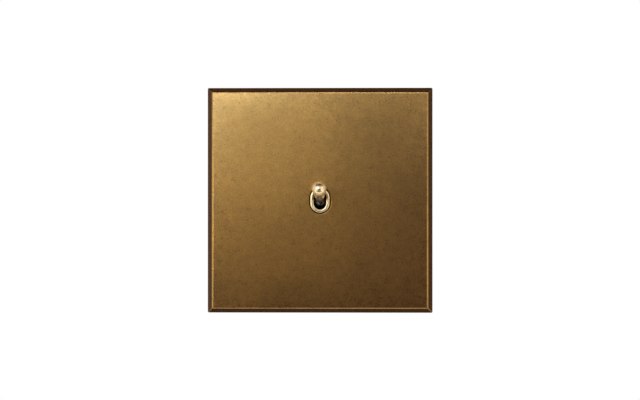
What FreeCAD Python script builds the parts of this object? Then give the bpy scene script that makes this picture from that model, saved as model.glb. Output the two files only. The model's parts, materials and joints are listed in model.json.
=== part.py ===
import FreeCAD, Part
import math
import os

from FreeCAD import Vector

# A brass dolly switch on a square wall plate with hidden fixings, in millimetres.
# The wall face is the plane y = 0. The plate stands in front of it, towards -Y,
# the switch body lies behind it, in the wall box. +Z is up and +X is to the right.
# The dolly is modelled at rest, pointing up.

# Face plate
plate_size = 86.0
plate_thickness = 6.0
plate_web = 2.4
plate_rim = 4.0
bevel_leg = 1.85
arris_radius = 1.2
mitre_radius = 0.9
side_corner_radius = 0.45
pocket_corner_radius = 2.0
slot_edge_chamfer = 0.25

# Bezel ring and its flange
bezel_width = 7.4
bezel_height = 9.45
bezel_wall = 1.3
bezel_proud = 1.0
bezel_gap = 0.45
bezel_outer_chamfer = 0.4
bezel_inner_chamfer = 0.35
flange_thickness = 1.0
flange_gap = 0.2
flange_side = 2.8
flange_end = 4.6
flange_corner_radius = 2.0

# Dolly and its lever
pivot_depth = 5.6
lever_tilt = 13.0
ball_radius = 2.75
ball_reach = 18.9
neck_radius = 1.6
neck_length = 1.5
stem_radius = 1.2
stem_gap = 0.03
stem_base = 1.6
rocker_radius = 4.0
rocker_width = 4.4
hub_radius = 2.6
rocker_gap = 0.2
rocker_side_gap = 0.15
spot_face_margin = 0.05
spot_face_depth = 0.55
tail_reach = 7.5
tail_radius = 1.4
tail_waist = 2.0
pin_radius = 1.0
pin_gap = 0.04
pin_seat_gap = 0.02
pin_end_gap = 0.1

# Support frame and plate magnets
frame_sheet = 1.2
frame_set_back = 0.3
frame_clearance = 1.0
frame_corner_radius = 2.5
frame_lip = 2.4
frame_bend_radius = 0.9
window_gap = 0.5
window_corner_radius = 1.5
box_screw_spacing = 60.3
box_slot_width = 3.9
box_slot_length = 7.0
magnet_radius = 5.0
magnet_recess = 0.8
magnet_gap = 0.1
magnet_inset = 10.0
magnet_sides = 16

# Contact slide
cover_thickness = 4.4
slide_play = 0.2
slide_width = 10.0
slide_length = 9.0
fork_gap = 0.06
fork_side_gap = 0.15
tail_end_gap = 0.2
slide_floor = 0.8
guide_gap = 0.1
slide_end_room = 0.4
spring_outer_radius = 1.4
spring_wire = 0.4
spring_turns = 2
spring_wire_sides = 4
spring_pocket_gap = 0.3
spring_pocket_depth = 2.1
blade_float = 0.2
blade_thickness = 0.6
blade_width = 3.0
blade_length = 9.2
blade_guide_gap = 0.1
blade_guide_width = 3.0
blade_guide_thickness = 0.6
pad_radius = 1.0
pad_height = 0.6
pad_offset = 3.6
wipe_gap = 0.02

# Detent leaf and the notches that it clicks into
leaf_thickness = 0.3
leaf_stand_off = 0.6
leaf_bump_height = 1.1
leaf_bump_half_width = 1.3
leaf_deflection_room = 1.5
leaf_seat_length = 1.4
leaf_seat_gap = 0.05
leaf_width = 5.1
leaf_edge_gap = 0.1
notch_half_width = 0.78
notch_depth = 0.85

# Fixed contacts and terminals
strip_thickness = 0.8
strip_width = 2.8
strip_gap = 0.1
contact_split = 1.0
contact_reach = 2.0
block_width = 6.4
block_length = 6.8
block_depth = 7.5
block_gap = 0.1
block_play = 0.2
block_partition = 4.8
wire_bore_radius = 1.6
wire_entry_radius = 1.9
wire_inset = 3.4
terminal_screw_radius = 1.4
terminal_head_radius = 1.8
terminal_head_height = 1.3
terminal_head_float = 0.3
screw_tip_gap = 0.1

# Switch body
barrier = 4.1
wall = 1.4
rivet_wall = 1.8
back_wall = 1.6
end_wall = 1.3
body_corner_radius = 1.5
post_gap = 0.05
post_width = 4.6
rivet_radius = 1.2
rivet_head_radius = 2.1
rivet_head_height = 0.7
rivet_gap = 0.03
rivet_head_sink = 1.0
screw_access_gap = 0.4

# Screws that join the bezel, the body and the frame
bezel_screw_radius = 0.9
bezel_screw_head_radius = 1.7
bezel_screw_head_height = 0.6
bezel_screw_length = 4.6
module_screw_radius = 1.2
module_screw_head_radius = 2.2
module_screw_head_height = 1.0
module_screw_depth = 3.6
module_screw_edge = 5.0
screw_clearance = 0.15
screw_seat_gap = 0.02
screw_slot_width = 0.6
screw_slot_depth = 0.4
drill_tip_room = 0.3

# Screws, rivets and their holes are small, so each has this many sides in place of a round
fastener_sides = 12

# Earth terminal, measured from the left and lower edges of the frame
earth_side_inset = 16.0
earth_bottom_inset = 14.0
earth_spigot_radius = 1.5

# Places along the depth
plate_front = -plate_thickness
web_back = plate_front + plate_web
magnet_seat = web_back - magnet_recess
bezel_face = plate_front - bezel_proud
pivot_y = bezel_face + pivot_depth
frame_back = -frame_set_back
rivet_seat = frame_back + rivet_head_sink
module_screw_tip = frame_back + module_screw_depth
frame_front = frame_back - frame_sheet
cover_back = frame_back + cover_thickness
flange_front = web_back + flange_gap
flange_back = flange_front + flange_thickness
slide_front = cover_back + slide_play
fork_floor = pivot_y + tail_reach + tail_radius + tail_end_gap
spring_seat = fork_floor + slide_floor
slide_back = spring_seat + spring_pocket_depth
blade_front = slide_back + blade_float
blade_back = blade_front + blade_thickness
pad_tip = blade_back + pad_height
strip_front = pad_tip + wipe_gap
strip_back = strip_front + strip_thickness
block_back = strip_back + block_depth
chamber_back = block_back + block_play
body_back = chamber_back + back_wall
wire_y = strip_back + wire_inset
leaf_front = cover_back + leaf_edge_gap
leaf_back = leaf_front + leaf_width

# Places across the width and the height
tilt = math.radians(lever_tilt)
throw = tail_reach * math.sin(tilt)
pocket_size = plate_size - 2 * plate_rim
frame_size = pocket_size - 2 * frame_clearance
flange_width = bezel_width + 2 * flange_side
flange_height = bezel_height + 2 * flange_end
window_width = flange_width + 2 * window_gap
window_height = flange_height + 2 * window_gap
bezel_screw_z = (bezel_height + flange_end) / 2
module_screw_z = window_height / 2 + module_screw_edge
rail_x = slide_width / 2 + guide_gap
cavity_z = slide_length / 2 + throw + slide_end_room
leaf_x = slide_width / 2 + leaf_stand_off
leaf_pocket_x = leaf_x + leaf_thickness + leaf_deflection_room
leaf_half_length = cavity_z + leaf_seat_length
block_x = (block_partition + block_width) / 2
chamber_z = cavity_z + barrier
block_z = chamber_z + block_gap + block_length / 2
body_half_height = block_z + block_length / 2 + block_gap + end_wall
rivet_x = leaf_pocket_x + rivet_wall + rivet_radius
body_half_width = rivet_x + rivet_radius + wall
magnet_place = frame_size / 2 - magnet_inset
earth_x = earth_side_inset - frame_size / 2
earth_z = earth_bottom_inset - frame_size / 2

# Edges are picked within this distance of a plane
touch = 0.01


# Shapes

def block(x0, x1, y0, y1, z0, z1):
    """A box between its lowest and highest corners."""
    return Part.makeBox(x1 - x0, y1 - y0, z1 - z0, Vector(x0, y0, z0))


def rod_x(radius, x0, x1, y, z):
    return Part.makeCylinder(radius, x1 - x0, Vector(x0, y, z), Vector(1, 0, 0))


def rod_y(radius, y0, y1, x, z):
    return Part.makeCylinder(radius, y1 - y0, Vector(x, y0, z), Vector(0, 1, 0))


def rod_z(radius, z0, z1, x, y):
    return Part.makeCylinder(radius, z1 - z0, Vector(x, y, z0), Vector(0, 0, 1))


def polygon_y(radius, y, x, z, sides):
    """A regular outline round an axis along Y, with its corners on the circle."""
    corners = []
    for side in range(sides + 1):
        angle = 2 * math.pi * side / sides
        corners.append(Vector(x + radius * math.cos(angle), y, z + radius * math.sin(angle)))
    return Part.makePolygon(corners)


def prism_y(radius, y0, y1, x, z, sides=fastener_sides):
    return Part.Face(polygon_y(radius, y0, x, z, sides)).extrude(Vector(0, y1 - y0, 0))


def edges_along(shape, direction):
    """The straight edges of a shape that run along one axis."""
    found = []
    for edge in shape.Edges:
        if not isinstance(edge.Curve, Part.Line):
            continue
        across = edge.tangentAt(edge.FirstParameter).cross(direction)
        if across.Length < touch:
            found.append(edge)
    return found


def rounded_block(half_x, half_z, y0, y1, radius):
    """A centred box whose four edges along Y are rounded."""
    shape = block(-half_x, half_x, y0, y1, -half_z, half_z)
    return shape.makeFillet(radius, edges_along(shape, Vector(0, 1, 0)))


def obround(width, height, y0, y1):
    """A centred upright prism along Y with two straight sides and two round ends."""
    radius = width / 2
    run = height / 2 - radius
    top = Part.Arc(Vector(radius, y0, run), Vector(0, y0, run + radius), Vector(-radius, y0, run))
    bottom = Part.Arc(Vector(-radius, y0, -run), Vector(0, y0, -run - radius), Vector(radius, y0, -run))
    left = Part.LineSegment(top.EndPoint, bottom.StartPoint)
    right = Part.LineSegment(bottom.EndPoint, top.StartPoint)
    outline = Part.Wire([curve.toShape() for curve in (top, left, bottom, right)])
    return Part.Face(outline).extrude(Vector(0, y1 - y0, 0))


def flattened_ball(radius, half_width):
    """A ball round the pivot with a flat on each side, turned about the pivot's axis."""
    rim = math.sqrt(radius ** 2 - half_width ** 2)
    left = Vector(-half_width, pivot_y, 0)
    right = Vector(half_width, pivot_y, 0)
    left_rim = Vector(-half_width, pivot_y, rim)
    right_rim = Vector(half_width, pivot_y, rim)
    edges = [
        Part.LineSegment(left, left_rim).toShape(),
        Part.Arc(left_rim, Vector(0, pivot_y, radius), right_rim).toShape(),
        Part.LineSegment(right_rim, right).toShape(),
        Part.LineSegment(right, left).toShape(),
    ]
    return Part.Face(Part.Wire(edges)).revolve(left, Vector(1, 0, 0), 360)


def group(shapes):
    return Part.makeCompound(shapes)


def turned_up(shape):
    """Turns a piece of the lever from straight out to its rest, tip up."""
    turned = shape.copy()
    turned.rotate(Vector(0, pivot_y, 0), Vector(1, 0, 0), -lever_tilt)
    return turned


# Face plate and what holds it

def bevelled_slab():
    """The plate's outside: a slab whose front edges are bevelled, with softened arrises."""
    half = plate_size / 2
    face_half = half - bevel_leg
    bevel_back = plate_front + bevel_leg
    slab = block(-half, half, bevel_back, 0, -half, half)
    rims = []
    for y, reach in ((bevel_back, half), (plate_front, face_half)):
        corners = [Vector(-reach, y, -reach), Vector(reach, y, -reach),
                   Vector(reach, y, reach), Vector(-reach, y, reach)]
        rims.append(Part.makePolygon(corners + corners[:1]))
    hip = Part.makeLoft(rims, True, True)
    slab = slab.fuse(hip).removeSplitter()
    slab = slab.makeFillet(side_corner_radius, edges_along(slab, Vector(0, 1, 0)))
    mitres = []
    for edge in slab.Edges:
        starts_in_front = edge.BoundBox.YMin < plate_front + touch
        if starts_in_front and edge.BoundBox.YMax > plate_front + touch:
            mitres.append(edge)
    slab = slab.makeFillet(mitre_radius, mitres)
    arrises = [e for e in slab.Edges if e.BoundBox.YMax < plate_front + touch]
    return slab.makeFillet(arris_radius, arrises)


def front_plate():
    plate = bevelled_slab()
    half = pocket_size / 2
    plate = plate.cut(rounded_block(half, half, web_back, 0, pocket_corner_radius))
    slot_width = bezel_width + 2 * bezel_gap
    slot_height = bezel_height + 2 * bezel_gap
    plate = plate.cut(obround(slot_width, slot_height, plate_front, web_back))
    rim = [e for e in plate.Edges
           if e.BoundBox.YMax < plate_front + touch
           and abs(e.BoundBox.Center.x) < slot_width and abs(e.BoundBox.Center.z) < slot_height]
    plate = plate.makeChamfer(slot_edge_chamfer, rim)
    for x, z in magnet_places():
        recess = prism_y(magnet_radius + magnet_gap, magnet_seat, web_back, x, z, magnet_sides)
        plate = plate.cut(recess)
    return plate


def magnet_places():
    return [(sx * magnet_place, sz * magnet_place) for sx in (-1, 1) for sz in (-1, 1)]


def plate_magnets():
    """Four discs, glued in the plate, that grip the steel frame."""
    return group([prism_y(magnet_radius, magnet_seat, frame_front, x, z, magnet_sides)
                  for x, z in magnet_places()])


def support_frame():
    """A pressed steel sheet with lips along its top and bottom edges."""
    half = frame_size / 2
    sheet = rounded_block(half, half, frame_front, frame_back, frame_corner_radius)
    for side in (-1, 1):
        lip_out = side * half
        lip_in = side * (half - frame_sheet)
        run = half - frame_corner_radius
        low, high = sorted((lip_in, lip_out))
        lip = block(-run, run, frame_back - frame_lip, frame_back, low, high)
        bend = [e for e in edges_along(lip, Vector(1, 0, 0))
                if e.BoundBox.YMin > frame_back - touch and abs(e.BoundBox.Center.z - lip_out) < touch]
        lip = lip.makeFillet(frame_bend_radius, bend)
        sheet = sheet.cut(block(-run, run, frame_front, frame_back, low, high))
        sheet = sheet.fuse(lip)
    sheet = sheet.cut(rounded_block(window_width / 2, window_height / 2, frame_front, frame_back,
                                    window_corner_radius))
    for side in (-1, 1):
        slot = obround(box_slot_width, box_slot_length, frame_front, frame_back)
        slot.rotate(Vector(0, 0, 0), Vector(0, 1, 0), 90)
        slot.translate(Vector(side * box_screw_spacing / 2, 0, 0))
        sheet = sheet.cut(slot)
        hole_radius = module_screw_radius + screw_clearance
        sheet = sheet.cut(prism_y(hole_radius, frame_front, frame_back, 0, side * module_screw_z))
    sheet = sheet.cut(prism_y(earth_spigot_radius, frame_front, frame_back, earth_x, earth_z))
    return sheet.removeSplitter()


# Bezel and lever

def bezel():
    """The ring that stands in the plate's slot, turned and milled with its flange in one piece."""
    ring = obround(bezel_width, bezel_height, bezel_face, flange_front)
    outer = [e for e in ring.Edges if e.BoundBox.YMax < bezel_face + touch]
    ring = ring.makeChamfer(bezel_outer_chamfer, outer)
    ring = ring.fuse(rounded_block(flange_width / 2, flange_height / 2, flange_front, flange_back,
                                   flange_corner_radius))
    opening_width = bezel_width - 2 * bezel_wall
    opening_height = bezel_height - 2 * bezel_wall
    ring = ring.cut(obround(opening_width, opening_height, bezel_face, flange_back))
    inner = [e for e in ring.Edges
             if e.BoundBox.YMax < bezel_face + touch
             and abs(e.BoundBox.Center.x) + e.BoundBox.XLength / 2 < opening_width / 2 + touch]
    ring = ring.makeChamfer(bezel_inner_chamfer, inner)
    ring = ring.cut(flattened_ball(rocker_radius + rocker_gap, rocker_width / 2 + rocker_side_gap))
    screw_seat = flange_front + bezel_screw_head_height
    for sign in (-1, 1):
        z = sign * bezel_screw_z
        ring = ring.cut(prism_y(bezel_screw_head_radius + screw_seat_gap, flange_front, screw_seat, 0, z))
        ring = ring.cut(prism_y(bezel_screw_radius + screw_seat_gap, screw_seat, flange_back, 0, z))
    return ring


def bezel_screws():
    """Two cheese-head screws, heads flush with the flange."""
    screws = []
    for sign in (-1, 1):
        z = sign * bezel_screw_z
        head_back = flange_front + bezel_screw_head_height
        head = prism_y(bezel_screw_head_radius, flange_front, head_back, 0, z)
        shank = prism_y(bezel_screw_radius, head_back, flange_front + bezel_screw_length, 0, z)
        screw = head.fuse(shank).removeSplitter()
        slot_floor = flange_front + screw_slot_depth
        screws.append(cut_slot(screw, flange_front, slot_floor, 0, z, bezel_screw_head_radius))
    return group(screws)


def cut_slot(screw, y0, y1, x, z, radius):
    """Cuts a driver slot across a screw's head."""
    half = screw_slot_width / 2
    return screw.cut(block(x - radius, x + radius, y0, y1, z - half, z + half))


def lever_y(reach):
    """The depth of a place on the straight lever, at a distance in front of the pivot."""
    return pivot_y - reach


def rocker():
    """A dome with two flats in front of the pivot, a hub round it, and a tail with a round end."""
    half = rocker_width / 2
    front_half = block(-half, half, lever_y(rocker_radius), pivot_y, -rocker_radius, rocker_radius)
    dome = flattened_ball(rocker_radius, half).common(front_half)
    hub = rod_x(hub_radius, -half, half, pivot_y, 0)
    tail_tip = pivot_y + tail_reach
    waist = tail_waist / 2
    tail = block(-half, half, pivot_y, tail_tip, -waist, waist)
    tail_end = rod_x(tail_radius, -half, half, tail_tip, 0)
    lever = dome.fuse([hub, tail, tail_end]).removeSplitter()
    seat = rocker_radius - spot_face_depth
    lever = lever.cut(rod_y(neck_radius + spot_face_margin, lever_y(rocker_radius), lever_y(seat), 0, 0))
    lever = lever.cut(rod_y(stem_radius + stem_gap, lever_y(seat), lever_y(stem_base), 0, 0))
    lever = lever.cut(rod_x(pin_radius + pin_gap, -half, half, pivot_y, 0))
    return turned_up(lever)


def dolly():
    """The turned knob: a stem, a neck, and a taper that runs into the ball end in a tangent."""
    seat = rocker_radius - spot_face_depth
    neck_top = seat + neck_length
    run = ball_reach - neck_top
    slope = math.atan2(run, neck_radius) - math.acos(ball_radius / math.hypot(run, neck_radius))

    def at(reach, radius):
        return Vector(0, lever_y(reach), radius)

    def on_ball(angle):
        return at(ball_reach + ball_radius * math.sin(angle), ball_radius * math.cos(angle))

    stem_end = stem_base + stem_gap
    taper_end = on_ball(-slope)
    tip = on_ball(math.pi / 2)
    curves = [
        Part.LineSegment(at(stem_end, 0), at(stem_end, stem_radius)),
        Part.LineSegment(at(stem_end, stem_radius), at(seat, stem_radius)),
        Part.LineSegment(at(seat, stem_radius), at(seat, neck_radius)),
        Part.LineSegment(at(seat, neck_radius), at(neck_top, neck_radius)),
        Part.LineSegment(at(neck_top, neck_radius), taper_end),
        Part.Arc(taper_end, on_ball(math.pi / 4), tip),
        Part.LineSegment(tip, at(stem_end, 0)),
    ]
    profile = Part.Face(Part.Wire([curve.toShape() for curve in curves]))
    knob = profile.revolve(Vector(0, pivot_y, 0), Vector(0, 1, 0), 360)
    return turned_up(knob)


def pivot_pin():
    """The pin lies in the nose from side to side, between the edges of the frame's window."""
    half = flange_width / 2 - pin_end_gap
    return rod_x(pin_radius, -half, half, pivot_y, 0)


# Switch body

def rivet_places():
    return [(side * rivet_x, 0.0) for side in (-1, 1)]


def terminal_places():
    """The middle of each terminal block: common on the left, the two switched ones on the right."""
    return {
        "common": (-block_x, -block_z),
        "lower": (block_x, -block_z),
        "upper": (block_x, block_z),
    }


def front_housing():
    """The moulded cover: a nose in the frame's window, a lever slot, and posts on the contact strips."""
    cover = rounded_block(body_half_width, body_half_height, frame_back, cover_back, body_corner_radius)
    nose = rounded_block(flange_width / 2, flange_height / 2, flange_back, frame_back, flange_corner_radius)
    cover = cover.fuse(nose)
    for x, z in terminal_places().values():
        half = post_width / 2
        cover = cover.fuse(block(x - half, x + half, cover_back, strip_front - post_gap, z - half, z + half))
    side = rocker_width / 2 + rocker_side_gap
    reach = rocker_radius + rocker_gap
    cover = cover.cut(block(-side, side, flange_back, cover_back, -reach, reach))
    cover = cover.cut(rod_x(pin_radius + pin_seat_gap, -flange_width / 2, flange_width / 2, pivot_y, 0))
    for x, z in rivet_places():
        cover = cover.cut(prism_y(rivet_radius + rivet_gap, frame_back, cover_back, x, z))
        cover = cover.cut(prism_y(rivet_head_radius + screw_clearance, frame_back, rivet_seat, x, z))
    bezel_screw_tip = flange_front + bezel_screw_length
    for sign in (-1, 1):
        z = sign * bezel_screw_z
        cover = cover.cut(prism_y(bezel_screw_radius, flange_back, bezel_screw_tip + drill_tip_room, 0, z))
        z = sign * module_screw_z
        cover = cover.cut(prism_y(module_screw_radius, frame_back, module_screw_tip + drill_tip_room, 0, z))
    return cover.removeSplitter()


def rear_housing():
    """The moulded body: the slide's cavity, the leaf's pocket, the strips' grooves and the chambers."""
    body = rounded_block(body_half_width, body_half_height, cover_back, body_back, body_corner_radius)
    body = body.cut(block(-rail_x, rail_x, cover_back, strip_back, -cavity_z, cavity_z))
    leaf_floor = leaf_back + leaf_edge_gap
    body = body.cut(block(rail_x, leaf_pocket_x, cover_back, leaf_floor, -cavity_z, cavity_z))
    seat_in = leaf_x - leaf_seat_gap
    seat_out = leaf_x + leaf_thickness + leaf_seat_gap
    seat_reach = leaf_half_length + leaf_seat_gap
    body = body.cut(block(seat_in, seat_out, cover_back, leaf_floor, -seat_reach, seat_reach))
    for x, z in terminal_places().values():
        side = math.copysign(1, x)
        up = math.copysign(1, z)
        groove = strip_width / 2 + strip_gap
        strip_x = side * pad_offset
        low, high = sorted((0, up * block_z))
        body = body.cut(block(strip_x - groove, strip_x + groove, cover_back, strip_back, low, high))
        half_x = block_width / 2 + block_gap
        half_z = block_length / 2 + block_gap
        body = body.cut(block(x - half_x, x + half_x, cover_back, chamber_back, z - half_z, z + half_z))
        low, high = sorted((z, up * body_half_height))
        body = body.cut(rod_z(wire_entry_radius, low, high, x, wire_y))
        access = terminal_head_radius + screw_access_gap
        body = body.cut(prism_y(access, chamber_back, body_back, x, z))
    for x, z in rivet_places():
        body = body.cut(prism_y(rivet_radius + rivet_gap, cover_back, body_back, x, z))
    return body.removeSplitter()


def housing_rivets():
    """Two rivets that run right through the body, one head sunk in the cover, one on the back."""
    rivets = []
    for x, z in rivet_places():
        face = rivet_seat - rivet_head_height
        shank = prism_y(rivet_radius, face, body_back + rivet_head_height, x, z)
        front = prism_y(rivet_head_radius, face, rivet_seat, x, z)
        back = prism_y(rivet_head_radius, body_back, body_back + rivet_head_height, x, z)
        rivets.append(shank.fuse([front, back]).removeSplitter())
    return group(rivets)


def module_screws():
    """Two screws from the front, through the frame into the cover."""
    screws = []
    for sign in (-1, 1):
        z = sign * module_screw_z
        face = frame_front - module_screw_head_height
        head = prism_y(module_screw_head_radius, face, frame_front, 0, z)
        shank = prism_y(module_screw_radius, frame_front, module_screw_tip, 0, z)
        screw = head.fuse(shank).removeSplitter()
        screws.append(cut_slot(screw, face, face + screw_slot_depth, 0, z, module_screw_head_radius))
    return group(screws)


# Contact slide, resting at the lower end of its way

def contact_carriage():
    """The moulded slide: a fork for the lever's tail, a spring pocket, and a notch for each end."""
    half_x = slide_width / 2
    half_z = slide_length / 2
    slide = block(-half_x, half_x, slide_front, slide_back, -half_z, half_z)
    fork_x = rocker_width / 2 + fork_side_gap
    fork_z = tail_radius + fork_gap
    slide = slide.cut(block(-fork_x, fork_x, slide_front, fork_floor, -fork_z, fork_z))
    slide = slide.cut(rod_y(spring_outer_radius + spring_pocket_gap, spring_seat, slide_back, 0, 0))
    guide_x = blade_guide_width / 2
    for sign in (-1, 1):
        near = blade_width / 2 + blade_guide_gap
        low, high = sorted((sign * near, sign * (near + blade_guide_thickness)))
        slide = slide.fuse(block(-guide_x, guide_x, slide_back, blade_back, low, high))
        notch_z = sign * throw
        mouth = half_x
        notch = Part.Face(Part.makePolygon([
            Vector(mouth, slide_front, notch_z - notch_half_width),
            Vector(mouth - notch_depth, slide_front, notch_z),
            Vector(mouth, slide_front, notch_z + notch_half_width),
            Vector(mouth, slide_front, notch_z - notch_half_width),
        ])).extrude(Vector(0, slide_back - slide_front, 0))
        slide = slide.cut(notch)
    return at_rest(slide.removeSplitter())


def at_rest(shape):
    """Moves a piece of the slide from the middle of its way to its rest."""
    moved = shape.copy()
    moved.translate(Vector(0, 0, -throw))
    return moved


def moving_contact():
    half = blade_length / 2
    width = blade_width / 2
    return at_rest(block(-half, half, blade_front, blade_back, -width, width))


def contact_pads():
    """Two silver buttons riveted to the blade."""
    pads = [prism_y(pad_radius, blade_back, pad_tip, side * pad_offset, 0) for side in (-1, 1)]
    return at_rest(group(pads))


def contact_spring():
    """A coil spring between the slide's pocket and the blade."""
    wire = spring_wire / 2
    length = blade_front - spring_seat - spring_wire
    radius = spring_outer_radius - wire
    path = Part.makeHelix(length / spring_turns, length, radius)
    section = polygon_y(wire, 0, radius, 0, spring_wire_sides)
    coil = Part.Wire(path).makePipeShell([section], True, True)
    coil.rotate(Vector(0, 0, 0), Vector(1, 0, 0), -90)
    coil.translate(Vector(0, spring_seat + wire, 0))
    return at_rest(coil)


def detent_spring():
    """A leaf along the slide, with a bump in its middle that sits in a notch at each end."""
    inner = leaf_x
    outer = leaf_x + leaf_thickness
    tip = leaf_x - leaf_bump_height
    foot = leaf_bump_half_width
    outline = [(inner, -leaf_half_length), (inner, -foot), (tip, 0), (inner, foot), (inner, leaf_half_length),
               (outer, leaf_half_length), (outer, foot), (tip + leaf_thickness, 0), (outer, -foot),
               (outer, -leaf_half_length)]
    points = [Vector(x, leaf_front, z) for x, z in outline]
    leaf = Part.Face(Part.makePolygon(points + points[:1]))
    return leaf.extrude(Vector(0, leaf_width, 0))


# Fixed contacts and terminals

def contact_strip(place, inner_end):
    """A flat strip beside the slide's way, with a head that lies on its terminal block."""
    x, z = terminal_places()[place]
    strip_x = math.copysign(pad_offset, x)
    half = strip_width / 2
    low, high = sorted((inner_end, z))
    strip = block(strip_x - half, strip_x + half, strip_front, strip_back, low, high)
    head = block(x - block_width / 2, x + block_width / 2, strip_front, strip_back,
                 z - block_length / 2, z + block_length / 2)
    return strip.fuse(head).removeSplitter()


def terminal_block(x, z, front):
    """A brass block with a wire hole along Z and a screw hole from its back."""
    half_x = block_width / 2
    half_z = block_length / 2
    body = block(x - half_x, x + half_x, front, front + block_depth, z - half_z, z + half_z)
    wire = front + wire_inset
    body = body.cut(rod_z(wire_bore_radius, z - half_z, z + half_z, x, wire))
    screw_hole = terminal_screw_radius + screw_seat_gap
    return body.cut(prism_y(screw_hole, wire, front + block_depth, x, z))


def terminal_screw(x, z, front):
    """A slotted screw, backed off so that the wire hole is free."""
    tip = front + wire_inset + wire_bore_radius + screw_tip_gap
    head_base = front + block_depth + terminal_head_float
    head_face = head_base + terminal_head_height
    shank = prism_y(terminal_screw_radius, tip, head_base, x, z)
    head = prism_y(terminal_head_radius, head_base, head_face, x, z)
    screw = shank.fuse(head).removeSplitter()
    return cut_slot(screw, head_face - screw_slot_depth, head_face, x, z, terminal_head_radius)


def terminal_screws():
    return group([terminal_screw(x, z, strip_back) for x, z in terminal_places().values()])


def earth_terminal():
    """The same block on the back of the frame, held by a spigot that is riveted over."""
    spigot = prism_y(earth_spigot_radius, frame_front, frame_back, earth_x, earth_z)
    return terminal_block(earth_x, earth_z, frame_back).fuse(spigot).removeSplitter()


def earth_screw():
    return terminal_screw(earth_x, earth_z, frame_back)


# The parts, each with its own file

makers = {
    "front_plate": front_plate,
    "plate_magnets": plate_magnets,
    "support_frame": support_frame,
    "bezel": bezel,
    "bezel_screws": bezel_screws,
    "dolly": dolly,
    "rocker": rocker,
    "pivot_pin": pivot_pin,
    "front_housing": front_housing,
    "rear_housing": rear_housing,
    "housing_rivets": housing_rivets,
    "module_screws": module_screws,
    "contact_carriage": contact_carriage,
    "moving_contact": moving_contact,
    "contact_pads": contact_pads,
    "contact_spring": contact_spring,
    "detent_spring": detent_spring,
    "common_contact": lambda: contact_strip("common", throw + contact_reach),
    "lower_contact": lambda: contact_strip("lower", -contact_split / 2),
    "upper_contact": lambda: contact_strip("upper", contact_split / 2),
    "common_terminal": lambda: terminal_block(*terminal_places()["common"], strip_back),
    "lower_terminal": lambda: terminal_block(*terminal_places()["lower"], strip_back),
    "upper_terminal": lambda: terminal_block(*terminal_places()["upper"], strip_back),
    "terminal_screws": terminal_screws,
    "earth_terminal": earth_terminal,
    "earth_screw": earth_screw,
}

os.makedirs("parts", exist_ok=True)
for name, make in makers.items():
    shape = make()
    shape.exportStep("parts/" + name + ".step")
    box = shape.BoundBox
    print(name, len(shape.Solids), shape.isValid(), round(shape.Volume, 3),
          [round(v, 3) for v in (box.XMin, box.XMax, box.YMin, box.YMax, box.ZMin, box.ZMax)])

print("pivot at y", pivot_y, "travel of the slide", 2 * throw, "for each radian", throw / tilt)
print("wire holes at y", wire_y, terminal_places())
print("earth wire hole", earth_x, frame_back + wire_inset, earth_z)
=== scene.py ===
# %% [markdown]
# # A brass dolly switch in a studio
# The object is a square wall plate of antique brass with one small dolly that points up out of a brass ring.
# The CAD model fixes every place and size, and this script gives it finer shapes, finishes, light and a camera.
# Each cell makes one piece or one finish. The first one loads the model.

import json
import math

import bmesh
import bpy
from mathutils import Matrix, Vector


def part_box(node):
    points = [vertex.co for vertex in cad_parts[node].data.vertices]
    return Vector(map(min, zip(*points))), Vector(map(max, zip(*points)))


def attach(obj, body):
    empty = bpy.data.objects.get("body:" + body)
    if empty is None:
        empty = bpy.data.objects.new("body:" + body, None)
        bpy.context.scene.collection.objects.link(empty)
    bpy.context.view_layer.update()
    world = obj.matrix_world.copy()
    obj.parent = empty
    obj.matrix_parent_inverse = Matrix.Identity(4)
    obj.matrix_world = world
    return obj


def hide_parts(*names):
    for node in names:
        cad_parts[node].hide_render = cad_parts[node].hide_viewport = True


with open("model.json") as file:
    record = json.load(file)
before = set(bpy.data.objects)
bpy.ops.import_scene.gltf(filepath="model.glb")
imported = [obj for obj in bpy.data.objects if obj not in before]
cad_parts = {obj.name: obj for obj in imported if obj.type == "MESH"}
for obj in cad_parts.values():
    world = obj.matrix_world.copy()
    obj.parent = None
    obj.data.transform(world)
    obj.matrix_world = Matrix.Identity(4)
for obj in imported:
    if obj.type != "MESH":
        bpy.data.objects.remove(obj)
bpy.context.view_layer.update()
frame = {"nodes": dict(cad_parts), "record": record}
scene = bpy.context.scene
mm = 0.001
print("nodes in the frame:", len(frame["nodes"]))

# %% [markdown]
# ## Sizes
# The model's own boxes give most places, so that nothing is measured twice. Boxes come in metres and the pieces
# here are drawn in millimetres, which are easier to read for an object of this size, and scaled once at the end.
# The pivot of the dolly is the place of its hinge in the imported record.

# %% Read places from the frame
def box_mm(node):
    """A CAD node's lowest and highest corners in millimetres."""
    low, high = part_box(node)
    return Vector(low) / mm, Vector(high) / mm


plate_low, plate_high = box_mm("front_plate")
bezel_low, bezel_high = box_mm("bezel")
plate_half = round(plate_high.x, 1)
plate_front = round(plate_low.y, 1)
hinge = next(j for j in frame["record"]["behaviour"]["joints"] if j["name"] == "dolly_tilt")
pivot = Vector(hinge["pos_m"]) / mm
lever_tilt = math.radians(max(hinge["range_deg"]) / 2)
print("plate half", plate_half, "front", plate_front, "pivot", tuple(round(v, 3) for v in pivot))

# %% [markdown]
# ## Camera
# A product picture of a wall switch is taken square on, with a long lens, so that the edges stay parallel. The
# ball stands a little left of the ring's middle, which says that the camera stood a touch to the right. The
# distance follows from the lens and from how wide a strip of wall the picture takes in.

# %% Place the camera
picture_width = 640
plate_pixels = 224.8
lens = 100.0
sensor = 36.0
camera_turn = math.radians(1.2)
# The camera aims a touch above the middle of the plate, at the depth where the bevels end
aim_depth = -4.15
aim_height = 0.11

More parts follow.
